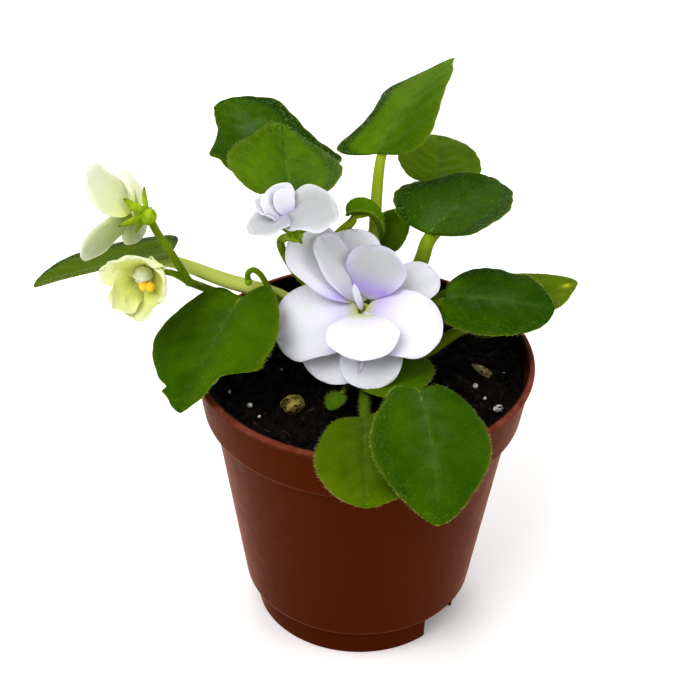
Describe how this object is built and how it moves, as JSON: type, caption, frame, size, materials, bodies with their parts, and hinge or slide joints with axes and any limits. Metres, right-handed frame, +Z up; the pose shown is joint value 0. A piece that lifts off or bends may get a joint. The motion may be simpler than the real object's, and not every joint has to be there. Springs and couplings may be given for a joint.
{
  "type": "potted african violet",
  "caption": "Round tapered nursery pot of soil with a rosette of heart-shaped hairy leaves on long petioles and white double flowers on forked stalks.",
  "frame": {"origin": "middle of the foot of the bounding box, on the surface that the pot stands on", "axes": "+Z up; -Y towards the side of the plant that the big open flower faces; +X to the right seen from there"},
  "size_m": [0.1422, 0.1284, 0.1452],
  "materials": {
    "pot_plastic": "satin red-brown plastic, smooth",
    "soil": "dark crumbled peat",
    "loose_lump": "pale rough lump",
    "bark": "pale bark chip",
    "perlite": "white porous grain",
    "crown": "green stem",
    "leaf": "green with fine pale hairs and a soft sheen",
    "stalk": "yellow-green, finely hairy",
    "petal": "white with lavender shading, finely crystalline",
    "anther": "orange-yellow, matte"
  },
  "bodies": {
    "root": {"pot": "pot_plastic", "soil": "soil", "pale_lump": "loose_lump", "bark_chip": "bark", "perlite_grain": "perlite", "crown": "crown", "leaf_back_left": "leaf", "leaf_upper_left": "leaf", "leaf_top": "leaf", "leaf_upper_right": "leaf", "leaf_right_dark": "leaf", "leaf_right": "leaf", "leaf_far_right": "leaf", "leaf_front": "leaf", "leaf_front_left": "leaf", "leaf_left": "leaf", "leaf_far_left": "leaf", "leaf_arched": "leaf", "leaf_young_right": "leaf", "leaf_under_flower": "leaf", "leaf_tiny": "leaf", "stalk_middle": "stalk", "stalk_left": "stalk", "young_shoot": "stalk", "corolla_open": "petal", "corolla_upper": "petal", "corolla_nodding": "petal", "corolla_bud": "petal", "anthers_bud": "anther"}
  },
  "joints": []
}
